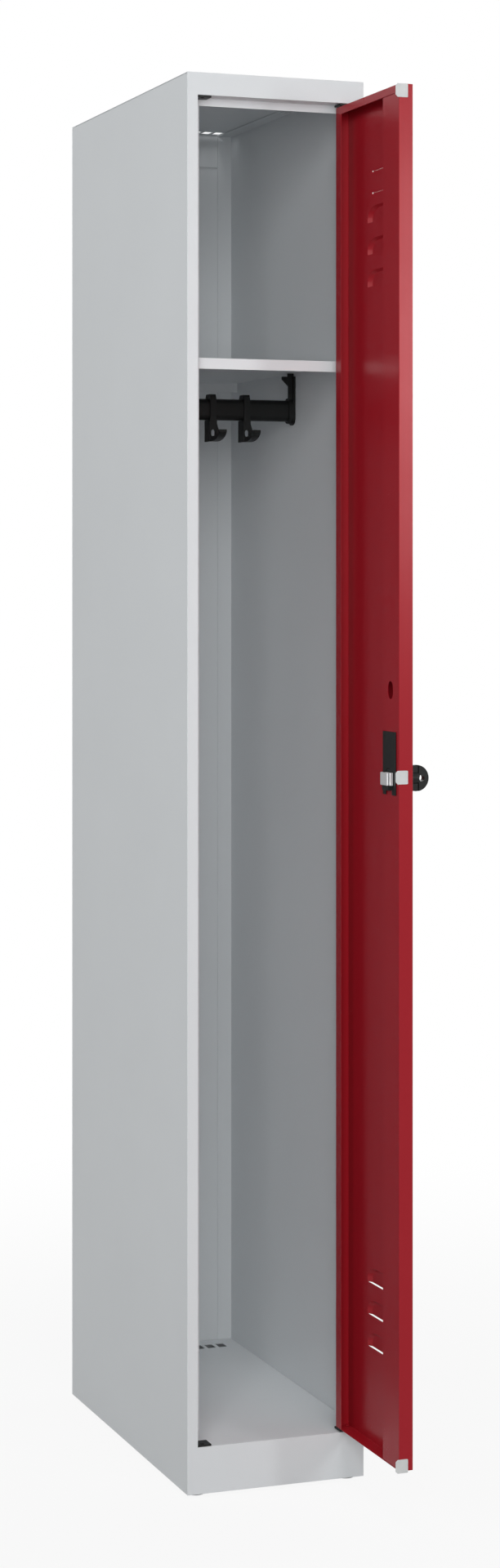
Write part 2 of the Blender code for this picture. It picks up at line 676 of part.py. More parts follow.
def hook_prong():
    """Prong that reaches forward from the plate's foot and turns up at its tip."""
    bottom = -RAIL_TALL / 2 - HOOK_DROP
    root = -HOOK_RING_HALF
    top = bottom + HOOK_PRONG_RISE
    inner = root - HOOK_PRONG_REACH + HOOK_PRONG_TIP
    deep = HOOK_PRONG_RISE - HOOK_THROAT_FLOOR
    outline = [(root + HOOK_PLATE / 2, bottom + HOOK_THROAT_FLOOR), (root + HOOK_PLATE / 2, bottom)]
    outline += [(root - HOOK_PRONG_REACH * a, top - HOOK_PRONG_RISE * b) for b, a in arc((0, 0), 1, 0, 78, 8)]
    outline += [(root - HOOK_PRONG_REACH + SHEET, top), (inner, top)]
    outline += [(inner + HOOK_THROAT_CURVE * (1 - a), top - deep * b) for a, b in arc((0, 0), 1, 15, 90, 5)]
    middle = HOOK_PRONG_SHIFT
    return prism_shape(outline, 0, middle - HOOK_PRONG_WIDE / 2, middle + HOOK_PRONG_WIDE / 2)


def hook_rib():
    """Deep rib along the stem's left edge, behind the front plate."""
    left = -HOOK_STEM_WIDE / 2
    low = -RAIL_TALL / 2 - HOOK_DROP
    return boxes_shape([box(left, left + HOOK_RIB, SHEET - HOOK_RING_HALF, HOOK_RIB_DEEP - HOOK_RING_HALF,
                            low, -RAIL_TALL / 2)])


def louvre_bottoms():
    """Heights of the lower edges of both louvre groups, from the top."""
    firsts = (DOOR_TOP - UPPER_LOUVRE_FROM_TOP,
              DOOR_BOTTOM + LOWER_LOUVRE_FROM_BOTTOM + (LOUVRE_COUNT - 1) * LOUVRE_PITCH)
    return [first - number * LOUVRE_PITCH for first in firsts for number in range(LOUVRE_COUNT)]


def louvre_solids(inset):
    """Hood shapes of both louvre groups, grown inwards by an inset for the hollow behind them."""
    return hull_shape([louvre_hood(bottom, inset) for bottom in louvre_bottoms()])


def skin_levels():
    """Heights between the cut-outs of the door's skin."""
    gap = LOUVRE_PITCH - LOUVRE_TALL
    levels = {bottom + step for bottom in louvre_bottoms() for step in (-gap / 2, LOUVRE_TALL + gap / 2)}
    return sorted(levels | {DOOR_TOP - LABEL_FROM_TOP - LABEL_TALL / 2})


def louvre_hood(bottom, inset):
    """Points of one hood: a round-shouldered outline at the skin and a smaller one at its lip."""
    at_skin = OUTER_FACE + SHEET / 2 if not inset else OUTER_FACE + 2 * SHEET
    at_lip = OUTER_FACE - LOUVRE_PROUD + inset
    low = bottom - min(inset, CLEARANCE)
    wide = LOUVRE_LENGTH / 2 - inset
    tall = LOUVRE_TALL - inset
    points = []
    for y, half, height in ((at_skin, wide, tall), (at_lip, wide - LOUVRE_TAPER, tall - LOUVRE_SLOPE)):
        corner = (LOUVRE_CORNER_WIDE * half / wide, LOUVRE_CORNER_TALL * height / tall)
        for side in (-1, 1):
            points.append((DOOR_MIDDLE + side * half, y, low))
            for a, b in arc((0, 0), 1, 0, 90, LOUVRE_STEPS):
                x = half - corner[0] * (1 - a)
                points.append((DOOR_MIDDLE + side * x, y, bottom + height - corner[1] * (1 - b)))
    return points


def make_door_pan(paint, door):
    """Door skin with returns on four sides, lips at the hinge and the top, louvres and label slits."""
    skin_back = OUTER_FACE + SHEET
    lip_front = INNER_FACE - SHEET
    height = (DOOR_BOTTOM, DOOR_TOP)
    width = (FREE_EDGE, HINGE_EDGE)
    depth = (OUTER_FACE, INNER_FACE)
    boxes = [box(*width, OUTER_FACE, skin_back, *height),
             box(HINGE_EDGE - SHEET, HINGE_EDGE, *depth, *height),
             box(FREE_EDGE, FREE_EDGE + SHEET, *depth, *height),
             box(*width, *depth, DOOR_TOP - SHEET, DOOR_TOP),
             box(*width, *depth, DOOR_BOTTOM, DOOR_BOTTOM + SHEET),
             box(HINGE_EDGE - HINGE_LIP, HINGE_EDGE, lip_front, INNER_FACE, *height),
             box(*width, lip_front, INNER_FACE, DOOR_TOP - TOP_LIP, DOOR_TOP)]
    pan = piece_from("door_pan", banded(boxes_shape(boxes), skin_levels()), paint, door)
    round_edges(pan)
    combine(pan, "UNION", "louvre_hoods", louvre_solids(0.0), door)
    combine(pan, "DIFFERENCE", "louvre_hollows", louvre_solids(SHEET), door)
    combine(pan, "DIFFERENCE", "label_slits", boxes_shape(label_cuts()), door)
    notch_x = DOOR_MIDDLE + TOP_NOTCH_FROM_MIDDLE
    notch = box(notch_x - TOP_NOTCH_WIDE / 2, notch_x + TOP_NOTCH_WIDE / 2, lip_front - CLEARANCE,
                INNER_FACE + SHEET, DOOR_TOP - TOP_NOTCH_TALL, DOOR_TOP + SHEET)
    combine(pan, "DIFFERENCE", "top_notch", boxes_shape([notch]), door)
    barrel = BARREL_DIAMETER / 2 + CLEARANCE
    span = [(OUTER_FACE - SHEET, barrel), (skin_back + SHEET, barrel)]
    combine(pan, "DIFFERENCE", "lock_hole_in_skin", turned_shape(span, 1, (LOCK_X, LOCK_HEIGHT)), door)
    pin = PIN_DIAMETER / 2 + CLEARANCE
    for level, z in (("top", DOOR_TOP), ("bottom", DOOR_BOTTOM)):
        hole = turned_shape([(z - 2 * SHEET, pin), (z + 2 * SHEET, pin)], 2, (0, 0))
        combine(pan, "DIFFERENCE", f"pin_hole_in_{level}_return", hole, door)


def label_cuts():
    """Two slits with small end notches through the skin, for a label card."""
    half = LABEL_WIDE / 2
    depth = (OUTER_FACE - SHEET, OUTER_FACE + 2 * SHEET)
    slit = LABEL_SLIT / 2
    cuts = []
    for z in (DOOR_TOP - LABEL_FROM_TOP, DOOR_TOP - LABEL_FROM_TOP - LABEL_TALL):
        cuts.append(box(DOOR_MIDDLE - half, DOOR_MIDDLE + half, *depth, z - slit, z + slit))
        for x in (DOOR_MIDDLE - half, DOOR_MIDDLE + half):
            cuts.append(box(x - LABEL_NOTCH_WIDE / 2, x + LABEL_NOTCH_WIDE / 2, *depth,
                            z - LABEL_NOTCH_TALL / 2, z + LABEL_NOTCH_TALL / 2))
    return cuts


def make_stiffener(paint, door):
    """Channel behind the lock side of the door, level with the inner plane."""
    outer = FREE_EDGE + SHEET + CLEARANCE
    inner = FREE_EDGE + STIFFENER_WIDE
    height = (DOOR_BOTTOM + SHEET + CLEARANCE, DOOR_TOP - TOP_LIP - CLEARANCE)
    boxes = [box(outer, inner, INNER_FACE - SHEET, INNER_FACE, *height),
             box(inner - SHEET, inner, OUTER_FACE + SHEET + CLEARANCE, INNER_FACE, *height)]
    stiffener = piece_from("lock_side_stiffener", boxes_shape(boxes), paint, door)
    round_edges(stiffener)
    through = (INNER_FACE - 2 * SHEET, INNER_FACE + SHEET)
    span = [(y, CRANK_POCKET) for y in through]
    combine(stiffener, "DIFFERENCE", "crank_hole", turned_shape(span, 1, (LOCK_X, LOCK_HEIGHT)), door)
    spare_at = (FREE_EDGE + SPARE_SLOT_FROM_EDGE, LOCK_HEIGHT + SPARE_SLOT_UP)
    spare = oval(spare_at, SPARE_SLOT_WIDE, SPARE_SLOT_TALL)
    combine(stiffener, "DIFFERENCE", "spare_lock_slot", prism_shape(spare, 1, *through), door)


def make_hinge_pins(paint, door):
    """Painted pins through the door's returns. The lower one's collar carries the door on its bush."""
    shaft = PIN_DIAMETER / 2
    head = PIN_HEAD_DIAMETER / 2
    collar = PIN_COLLAR_DIAMETER / 2
    top_head = DOOR_TOP - SHEET - CLEARANCE
    top = [(top_head - PIN_HEAD_TALL, head), (top_head, head), (top_head, shaft),
           (FRAME_TOP - 2 * CLEARANCE, shaft)]
    seat = FLOOR_HEIGHT + BUSH_THICK + 2 * CLEARANCE
    low_head = DOOR_BOTTOM + SHEET + CLEARANCE
    bottom = [(FLOOR_HEIGHT + 2 * CLEARANCE, shaft), (seat, shaft), (seat, collar),
              (DOOR_BOTTOM - CLEARANCE, collar), (DOOR_BOTTOM - CLEARANCE, shaft), (low_head, shaft),
              (low_head, head), (low_head + PIN_HEAD_TALL, head)]
    for level, profile in (("top", top), ("bottom", bottom)):
        pin = piece_from(f"hinge_pin_{level}", turned_shape(profile, 2, (0, 0)), paint, door)
        shade_round(pin)


def make_edge_pads(plastic, door):
    """Bumper pads on the free edge, proud of the inner plane so that they meet the stop lip."""
    outer = INNER_FACE - PAD_ON_EDGE
    inner = INNER_FACE + PAD_PROUD
    lows = {"top": DOOR_TOP - PAD_TALL, "middle": LOCK_HEIGHT + PAD_ABOVE_LOCK - PAD_TALL / 2,
            "bottom": DOOR_BOTTOM - PAD_BELOW_DOOR}
    face = FREE_EDGE - CLEARANCE
    for place, low in lows.items():
        high = low + PAD_TALL
        outline = [(inner - PAD_CHAMFER, low), (inner, low + PAD_CHAMFER), (inner, high - PAD_CHAMFER),
                   (inner - PAD_CHAMFER, high)]
        outline += arc((outer + PAD_ROUND, high - PAD_ROUND), PAD_ROUND, 90, 180, 4)
        outline += arc((outer + PAD_ROUND, low + PAD_ROUND), PAD_ROUND, 180, 270, 4)
        piece_from(f"edge_pad_{place}", prism_shape(outline, 0, face - PAD_THICK, face), plastic, door)


def make_lock(plastic, steel, door):
    """Fixed half of the latch: a flanged barrel with its nut, and a plate on the stiffener."""
    centre = (LOCK_X, LOCK_HEIGHT)
    bore = SPINDLE_DIAMETER / 2 + CLEARANCE
    barrel = BARREL_DIAMETER / 2
    rosette = ROSETTE_DIAMETER / 2
    flange = OUTER_FACE - CLEARANCE
    end = INNER_FACE - SHEET - CLEARANCE
    profile = [(flange - ROSETTE_THICK, rosette), (flange, rosette), (flange, barrel), (end, barrel)]
    body = piece_from("lock_barrel", turned_shape(profile, 1, centre), plastic, door)
    through = [(OUTER_FACE - DOOR_DEPTH, bore), (INNER_FACE, bore)]
    combine(body, "DIFFERENCE", "spindle_bore", turned_shape(through, 1, centre), door)
    shade_round(body)
    seat = OUTER_FACE + SHEET + CLEARANCE
    hexagon = arc(centre, NUT_ACROSS / math.sqrt(3), 0, 300, 5)
    nut = piece_from("lock_nut", prism_shape(hexagon, 1, seat, seat + NUT_THICK), steel, door)
    thread = [(OUTER_FACE, barrel + CLEARANCE), (INNER_FACE, barrel + CLEARANCE)]
    combine(nut, "DIFFERENCE", "nut_bore", turned_shape(thread, 1, centre), door)
    make_lock_plate(plastic, door)


def make_lock_plate(plastic, door):
    """Plate with a forked foot, a round hole for the crank and a guide under the bolt."""
    middle = LOCK_X - LOCK_PLATE_SHIFT
    across = (middle - LOCK_PLATE_WIDE / 2, middle + LOCK_PLATE_WIDE / 2)
    fork = (LOCK_X - LOCK_FORK_WIDE / 2, LOCK_X + LOCK_FORK_WIDE / 2)
    back = INNER_FACE + CLEARANCE
    bottom = LOCK_HEIGHT - LOCK_PLATE_DOWN
    guide_top = bolt_low() - CLEARANCE
    boxes = [box(*across, back, PLATE_FACE, bottom, LOCK_HEIGHT + LOCK_PLATE_UP),
             box(*fork, back, PLATE_FACE + LOCK_GUIDE_PROUD, bottom + LOCK_FORK_TALL, guide_top)]
    cut = box(*fork, back, PLATE_FACE, bottom, bottom + LOCK_FORK_TALL)
    plate = piece_from("lock_plate", boxes_shape(boxes, [cut]), plastic, door)
    round_edges(plate)
    span = [(INNER_FACE, CRANK_POCKET), (PLATE_FACE + CLEARANCE / 2, CRANK_POCKET)]
    combine(plate, "DIFFERENCE", "crank_pocket", turned_shape(span, 1, (LOCK_X, LOCK_HEIGHT)), door)


def bolt_low():
    return LOCK_HEIGHT - BOLT_TALL / 2


def make_knob(plastic, steel, door):
    """Turning half of the latch: the knob outside, and its spindle with a crank inside."""
    turner = add_axis("knob_axis", (LOCK_X, OUTER_FACE, LOCK_HEIGHT), door)
    radius = KNOB_DIAMETER / 2
    start = -CLEARANCE - ROSETTE_THICK - CLEARANCE
    web = KNOB_WEB_THICK / 2
    reach = math.degrees(math.acos((start + KNOB_CENTRE_OUT) / radius))
    disc = arc((-KNOB_CENTRE_OUT, 0), radius, reach, 360 - reach, ROUND_SEGMENTS)
    knob = piece_from("turn_knob", prism_shape(disc, 0, -web, web), plastic, turner)
    edge = math.degrees(math.acos((KNOB_CENTRE_OUT - KNOB_STEP_OUT) / radius))
    grip = arc((-KNOB_CENTRE_OUT, 0), radius, edge, 360 - edge, ROUND_SEGMENTS)
    half = KNOB_GRIP_THICK / 2
    combine(knob, "UNION", "knob_grip", prism_shape(grip, 0, -half, half), turner)
    neck = KNOB_NECK_DIAMETER / 2
    root = [(-KNOB_STEP_OUT - CLEARANCE, neck), (start, neck)]
    combine(knob, "UNION", "knob_neck", turned_shape(root, 1, (0, 0)), turner)
    hole = PADLOCK_HOLE / 2
    across = [(-KNOB_GRIP_THICK, hole), (KNOB_GRIP_THICK, hole)]
    combine(knob, "DIFFERENCE", "padlock_hole", turned_shape(across, 0, (-PADLOCK_HOLE_OUT, 0)), turner)
    shade_round(knob)
    shaft = SPINDLE_DIAMETER / 2
    crank = CRANK_DIAMETER / 2
    crank_back = DOOR_DEPTH - SHEET
    crank_front = DOOR_DEPTH + LOCK_PLATE_THICK
    profile = [(start + CLEARANCE, shaft), (crank_back, shaft), (crank_back, crank), (crank_front, crank)]
    spindle = piece_from("spindle_crank", turned_shape(profile, 1, (0, 0)), steel, turner)
    pin = CRANK_PIN_DIAMETER / 2
    reach = [(crank_back + SHEET, pin), (PLATE_FACE - OUTER_FACE + bolt_base_thick(), pin)]
    combine(spindle, "UNION", "crank_pin", turned_shape(reach, 1, (CRANK_OFFSET, CRANK_OFFSET)), turner)


def bolt_base_thick():
    """The bolt's base passes in front of the stop lip with a clearance on each side of the jaw."""
    lip_front = STOP_SETBACK - PIVOT_Y
    return lip_front - CLEARANCE - PLATE_FACE - CLEARANCE


def make_bolt(steel, door):
    """Sliding bolt with a jaw that straddles the stop lip, and a notch for the crank pin."""
    slider = add_axis("bolt_axis", (LOCK_X, PLATE_FACE, LOCK_HEIGHT), door)
    low = -BOLT_TALL / 2
    high = BOLT_TALL / 2
    front = FREE_EDGE + BOLT_FRONT_FROM_EDGE - LOCK_X
    base = (CLEARANCE, CLEARANCE + bolt_base_thick())
    jaw = base[1] + SHEET + 2 * CLEARANCE
    nose = jaw + BOLT_NOSE_THICK
    rear = front + BOLT_LONG
    boxes = [box(front, rear + BOLT_TAIL, *base, low, high),
             box(front + BOLT_JAW_DEEP, rear, base[0], nose, low, high),
             box(front + BOLT_NOSE_SETBACK, rear, jaw, nose, low, high)]
    slot = CRANK_PIN_DIAMETER / 2 + CRANK_PIN_PLAY
    notch = box(CRANK_OFFSET - slot, CRANK_OFFSET + slot, *base, CRANK_OFFSET - slot, high)
    piece_from("latch_bolt", boxes_shape(boxes, [notch]), steel, slider)


def door_to_room(x, y):
    """A point of the shut door, in the carcass frame with the door open."""
    turn = math.radians(DOOR_OPEN_DEG)
    across = x * math.cos(turn) - y * math.sin(turn)
    along = x * math.sin(turn) + y * math.cos(turn)
    return PIVOT_X + across, PIVOT_Y + along


def footprint_centre():
    """Middle of the ground that the locker covers with its door open."""
    knob_tip = OUTER_FACE - KNOB_CENTRE_OUT - KNOB_DIAMETER / 2
    pad = FREE_EDGE - CLEARANCE - PAD_THICK
    reach = [(0, 0), (WIDTH, DEPTH), door_to_room(LOCK_X, knob_tip), door_to_room(pad, INNER_FACE),
             door_to_room(pad, OUTER_FACE), door_to_room(FREE_EDGE, OUTER_FACE)]
    xs = [x for x, _ in reach]
    ys = [y for _, y in reach]
    return (min(xs) + max(xs)) / 2, (min(ys) + max(ys)) / 2


def main():
    for leftover in list(bpy.data.objects):
        bpy.data.objects.remove(leftover, do_unlink=True)
    body_grey = finish("body_grey_paint", (0.71, 0.74, 0.76), 0.35)
    door_red = finish("door_red_paint", (0.325, 0.0095, 0.017), 0.25)
    black = finish("black_plastic", (0.008, 0.008, 0.008), 0.45)
    pad_grey = finish("pad_grey_plastic", (0.62, 0.63, 0.63), 0.5)
    bright = finish("bright_steel", (0.66, 0.67, 0.68), 0.3, 1.0)
    black_steel = finish("black_steel", (0.008, 0.008, 0.008), 0.4)
    middle = footprint_centre()
    carcass = add_axis("carcass", (-middle[0], -middle[1], 0))
    make_front_frame(body_grey, carcass)
    make_side_panels(body_grey, carcass)
    make_back_panel(body_grey, carcass)
    make_roof(body_grey, carcass)
    make_floor(body_grey, carcass)
    make_shelf(body_grey, carcass)
    make_feet(pad_grey, carcass)
    make_bushes(black, carcass)
    make_rail(black_steel, black, carcass)
    make_hooks(black, carcass)
    door = add_axis("door_hinge", (PIVOT_X, PIVOT_Y, 0), carcass, DOOR_OPEN_DEG)
    make_door_pan(door_red, door)
    make_stiffener(door_red, door)
    make_hinge_pins(door_red, door)
    make_edge_pads(pad_grey, door)
    make_lock(black, bright, door)
    make_knob(black, black_steel, door)
    make_bolt(bright, door)


main()
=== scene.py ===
"""Looks of the clothing locker: painted steel, black mouldings, zinc bolt, studio light and camera."""

import json
import math

import bmesh
import bpy
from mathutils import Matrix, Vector

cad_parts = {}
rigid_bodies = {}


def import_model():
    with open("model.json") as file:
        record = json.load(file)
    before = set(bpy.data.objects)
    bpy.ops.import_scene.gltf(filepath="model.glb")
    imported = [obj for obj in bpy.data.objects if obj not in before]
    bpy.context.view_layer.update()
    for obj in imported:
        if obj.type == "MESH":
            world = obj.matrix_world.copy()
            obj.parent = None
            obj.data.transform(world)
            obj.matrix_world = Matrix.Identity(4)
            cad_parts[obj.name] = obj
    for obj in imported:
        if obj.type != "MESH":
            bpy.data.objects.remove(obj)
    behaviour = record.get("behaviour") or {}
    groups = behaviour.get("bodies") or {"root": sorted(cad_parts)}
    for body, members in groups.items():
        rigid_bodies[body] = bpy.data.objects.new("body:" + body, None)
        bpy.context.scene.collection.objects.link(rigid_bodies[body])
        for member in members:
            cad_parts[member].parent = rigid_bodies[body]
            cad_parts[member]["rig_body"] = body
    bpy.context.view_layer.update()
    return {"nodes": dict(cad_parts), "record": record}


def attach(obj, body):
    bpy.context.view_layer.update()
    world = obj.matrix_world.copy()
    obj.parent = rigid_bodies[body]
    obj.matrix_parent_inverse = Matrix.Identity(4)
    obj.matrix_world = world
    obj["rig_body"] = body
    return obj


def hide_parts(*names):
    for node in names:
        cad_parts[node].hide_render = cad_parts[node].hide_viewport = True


for leftover in list(bpy.data.objects):
    bpy.data.objects.remove(leftover, do_unlink=True)

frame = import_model()

MM = 0.001
WHITE = (1.0, 1.0, 1.0, 1.0)

# Camera, solved from the locker's edges: level, turned to the right, with the lens shifted down
CAMERA_AT = (-1.35778, -3.70857, 1.16094)
CAMERA_LEVEL_DEG = 90.0
CAMERA_TURN_DEG = -20.27
CAMERA_LENS = 68.53
CAMERA_SENSOR = 36.0
CAMERA_SHIFT = -0.1313

# Finishes, as linear colours
BODY_GREY = (0.718, 0.748, 0.766)
DOOR_RED = (0.335, 0.0092, 0.0172)
BLACK = (0.0075, 0.0080, 0.0078)
PAD_GREY = (0.630, 0.642, 0.640)
ZINC = (0.80, 0.81, 0.82)
FLOOR_GREY = (0.45, 0.45, 0.45)

# Gloss of the finishes: roughness, then specular level
BODY_GLOSS = (0.34, 0.14)
DOOR_GLOSS = (0.245, 0.19)
MOULDING_GLOSS = (0.45, 0.22)
PAD_GLOSS = (0.5, 0.3)
ZINC_GLOSS = (0.36, 0.5)
ENAMEL_GLOSS = (0.40, 0.2)
PLAIN_METALLIC = 0.0
DOOR_METALLIC = 0.05
ZINC_METALLIC = 0.6

# Noise in general
GRAIN_DETAIL = 2.0
GRAIN_ROUGHNESS = 0.55
GRAIN_MEAN = 0.5

# Powder paint: lumps for each metre, with how far they sway the tone or the roughness; depths are in mm
COAT_CLOUDS = (5.0, 0.05)
COAT_SPECKS = (1400.0, 0.04)
COAT_DULL_PATCHES = (9.0, 0.06)
COAT_DULL_SPECKS = (700.0, 0.08)
COAT_PEEL = 620.0
COAT_PEEL_DETAIL = 1.0
COAT_PEEL_DEPTH = 0.04

# Moulded plastic, in the same way
MOULDING_CLOUDS = (60.0, 0.25)
MOULDING_SPECKS = (2600.0, 0.12)
MOULDING_DULL_PATCHES = (90.0, 0.12)
MOULDING_GRAIN = 2400.0
MOULDING_GRAIN_DETAIL = 3.0
MOULDING_GRAIN_DEPTH = 0.03

# Zinc plate, in the same way; its drawing lines are noise that is drawn out along X
ZINC_CLOUDS = (40.0, 0.12)
ZINC_LINES = 12.0
ZINC_LINES_SWAY = 0.16
ZINC_LINES_DETAIL = 3.0
ZINC_LINES_STRETCH = (14.0, 260.0, 260.0)
ZINC_LINES_DEPTH = 0.02

# Edges of the pieces, by the start of the node's name: radius in mm and steps across it, then for sheets
# the shortest edge in mm that is rounded, and for the door its own angle above which an edge is sharp
SHARP_DEG = 32
FLAT_DEG = 0.4
MERGE_MM = 0.001
ROUND_PROFILE = 0.5
AS_BUILT = (0.0, 1)
TURNED = (0.3, 2)
SHEET = (0.4, 2, 45.0)
EDGES = {
    "hook": (0.5, 2),
    "rail_bracket": (0.6, 2),
    "clothes_rail": AS_BUILT,
    "turn_knob": (0.9, 3),
    "lock_barrel": (0.5, 2),
    "lock_nut": (0.4, 2),
    "lock_plate": AS_BUILT,
    "latch_bolt": (0.6, 3),
    "spindle_crank": TURNED,
    "hinge_pin": TURNED,
    "corner_bush": AS_BUILT,
    "edge_pad": (0.25, 2),
    "foot": (0.5, 2),
    "door_pan": (0.4, 4, 45.0, 20),
    "lock_side_stiffener": SHEET,
    "front_frame": SHEET,
    "left_side_panel": SHEET,
    "right_side_panel": SHEET,
    "back_panel": SHEET,
    "roof_panel": SHEET,
    "floor_panel": SHEET,
    "hat_shelf": SHEET,
}

# Sky and floor: light levels, and from where to where the floor's shadow fades into the white, in metres
SKY_LEVEL = 0.02
BACKGROUND_LEVEL = 1.0
FLOOR_GLOW = 0.91
FLOOR_SHADE_REACH = (0.5, 2.2)
FLOOR_REACH = 30.0

# Soft boxes: name, place, the point that they face, width and height, and watts
LAMPS = (
    ("front_box", (-0.6, -4.5, 2.3), (0.0, 0.0, 0.9), (2.2, 3.0), 44.3),
    ("front_left_box", (-1.9, -4.1, 2.0), (0.0, 0.0, 0.9), (1.6, 2.6), 83.2),
    ("left_box", (-3.8, 0.2, 2.9), (0.0, 0.1, 1.0), (2.4, 2.4), 56.0),
    ("ceiling_box", (-0.6, -2.0, 7.5), (0.0, 0.0, 0.0), (2.0, 2.0), 113.4),
    ("key_strip", (1.48, -3.57, 1.71), (0.0, -0.2, 1.2), (0.35, 0.9), 19.4),
    ("right_box", (3.8, 0.9, 2.3), (0.1, 0.1, 0.9), (2.2, 2.2), 64.8),
    ("back_box", (1.5, 4.4, 2.3), (0.0, 0.3, 0.9), (2.2, 2.2), 64.8),
)


class Wire:
    """A shader socket. Sums on wires add Math nodes, and add() makes any other node."""

    def __init__(self, tree, socket=None):
        self.tree = tree
        self.socket = socket

    def add(self, kind, settings=None, inputs=None, output=0):
        """Makes a node, sets it up, then fills its sockets with values or links."""
        node = self.tree.nodes.new(kind)
        for name, value in (settings or {}).items():
            setattr(node, name, value)
        for key, value in (inputs or {}).items():
            if isinstance(value, Wire):
                self.tree.links.new(value.socket, node.inputs[key])
            else:
                node.inputs[key].default_value = value
        return Wire(self.tree, node.outputs[output])

    def maths(self, operation, first, second):
        return self.add("ShaderNodeMath", {"operation": operation}, {0: first, 1: second})

    def __add__(self, other):
        return self.maths("ADD", self, other)

    def __radd__(self, other):
        return self.maths("ADD", other, self)

    def __sub__(self, other):
        return self.maths("SUBTRACT", self, other)

    def __rsub__(self, other):
        return self.maths("SUBTRACT", other, self)

    def __mul__(self, other):
        return self.maths("MULTIPLY", self, other)

    def __rmul__(self, other):
        return self.maths("MULTIPLY", other, self)


def grain(place, scale, detail=GRAIN_DETAIL, stretch=None):
    """Even noise between 0 and 1, at a scale given in lumps for each metre."""
    if stretch:
        place = place.add("ShaderNodeVectorMath", {"operation": "MULTIPLY"}, {0: place, 1: stretch})
    sockets = {"Vector": place, "Scale": scale, "Detail": detail, "Roughness": GRAIN_ROUGHNESS}
    return place.add("ShaderNodeTexNoise", None, sockets)


def sway(place, scale, amount):
    """Noise about zero, for a value that wanders a little over the surface."""
    return (grain(place, scale) - GRAIN_MEAN) * amount


def finish(name, colour, gloss, metallic, tone, dullness, relief, depth):
    """A Principled material. tone, dullness and relief are functions of the place on the surface."""
    roughness, level = gloss
    material = bpy.data.materials.new(name)
    material.use_nodes = True
    tree = material.node_tree
    shader = tree.nodes["Principled BSDF"]
    shader.inputs["Metallic"].default_value = metallic
    shader.inputs["Specular IOR Level"].default_value = level
    place = Wire(tree).add("ShaderNodeTexCoord", output="Object")
    shaded = place.add("ShaderNodeVectorMath", {"operation": "SCALE"}, {0: colour, "Scale": tone(place)})
    tree.links.new(shaded.socket, shader.inputs["Base Color"])
    tree.links.new((roughness + dullness(place)).socket, shader.inputs["Roughness"])
    sockets = {"Height": relief(place), "Strength": 1.0, "Distance": depth * MM}
    bump = place.add("ShaderNodeBump", None, sockets)
    tree.links.new(bump.socket, shader.inputs["Normal"])
    return material


def powder_coat(name, colour, gloss, metallic=PLAIN_METALLIC):
    """Baked powder paint: an even satin with a fine orange-peel skin."""
    def tone(place):
        return 1 + sway(place, *COAT_CLOUDS) + sway(place, *COAT_SPECKS)

    def dullness(place):
        return sway(place, *COAT_DULL_PATCHES) + sway(place, *COAT_DULL_SPECKS)

    def relief(place):
        return grain(place, COAT_PEEL, COAT_PEEL_DETAIL)

    return finish(name, colour, gloss, metallic, tone, dullness, relief, COAT_PEEL_DEPTH)


def moulding(name, colour, gloss):
    """Moulded plastic with a fine spark-eroded grain."""
    def tone(place):
        return 1 + sway(place, *MOULDING_CLOUDS) + sway(place, *MOULDING_SPECKS)

    def dullness(place):
        return sway(place, *MOULDING_DULL_PATCHES)

    def relief(place):
        return grain(place, MOULDING_GRAIN, MOULDING_GRAIN_DETAIL)

    return finish(name, colour, gloss, PLAIN_METALLIC, tone, dullness, relief, MOULDING_GRAIN_DEPTH)


def zinc_plate(name, colour, gloss):
    """Bright zinc on steel with faint drawing lines."""
    def lines(place):
        return grain(place, ZINC_LINES, ZINC_LINES_DETAIL, ZINC_LINES_STRETCH)

    def tone(place):
        return 1 + sway(place, *ZINC_CLOUDS)

    def dullness(place):
        return (lines(place) - GRAIN_MEAN) * ZINC_LINES_SWAY

    return finish(name, colour, gloss, ZINC_METALLIC, tone, dullness, lines, ZINC_LINES_DEPTH)


def make_finishes():
    """The finish of each material slot in the record."""
    return {
        "body_grey": powder_coat("body_grey_paint", BODY_GREY, BODY_GLOSS),
        "door_red": powder_coat("door_red_paint", DOOR_RED, DOOR_GLOSS, DOOR_METALLIC),
        "black_plastic": moulding("black_moulding", BLACK, MOULDING_GLOSS),
        "pad_grey": moulding("pad_grey_moulding", PAD_GREY, PAD_GLOSS),
        "bright_steel": zinc_plate("bright_zinc", ZINC, ZINC_GLOSS),
        "black_steel": powder_coat("black_enamel", BLACK, ENAMEL_GLOSS),
    }


def round_edges(shape, radius, steps, shortest, sharp):
    """Rounds the sharp edges of a shape that are longer than a given length."""
    edges = []
    for edge in shape.edges:
        joins_two = len(edge.link_faces) == 2
        if joins_two and edge.calc_length() > shortest * MM and edge.calc_face_angle() > sharp:
            edges.append(edge)
    bmesh.ops.bevel(shape, geom=edges, offset=radius * MM, offset_type="OFFSET", segments=steps,
                    profile=ROUND_PROFILE, affect="EDGES", clamp_overlap=True)


def rounded(node, radius, steps, shortest=0.0, sharp_deg=SHARP_DEG):
    """A copy of a CAD node with rounded edges, which stands for the node and rides on its body."""
    source = frame["nodes"][node]
    sharp = math.radians(sharp_deg)
    shape = bmesh.new()
    shape.from_mesh(source.data)
    bmesh.ops.remove_doubles(shape, verts=shape.verts, dist=MERGE_MM * MM)
    bmesh.ops.dissolve_limit(shape, angle_limit=math.radians(FLAT_DEG), verts=shape.verts, edges=shape.edges)
    if radius:
        round_edges(shape, radius, steps, shortest, sharp)
    for face in shape.faces:
        face.smooth = True
    for edge in shape.edges:
        edge.smooth = edge.calc_face_angle(0.0) <= sharp
    mesh = bpy.data.meshes.new(f"{node}_finished")
    shape.to_mesh(mesh)
    shape.free()
    piece = bpy.data.objects.new(f"{node}_finished", mesh)
    bpy.context.scene.collection.objects.link(piece)
    flats = piece.modifiers.new("flats_stay_flat", "WEIGHTED_NORMAL")
    flats.keep_sharp = True
    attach(piece, source["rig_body"])
    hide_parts(node)
    return piece


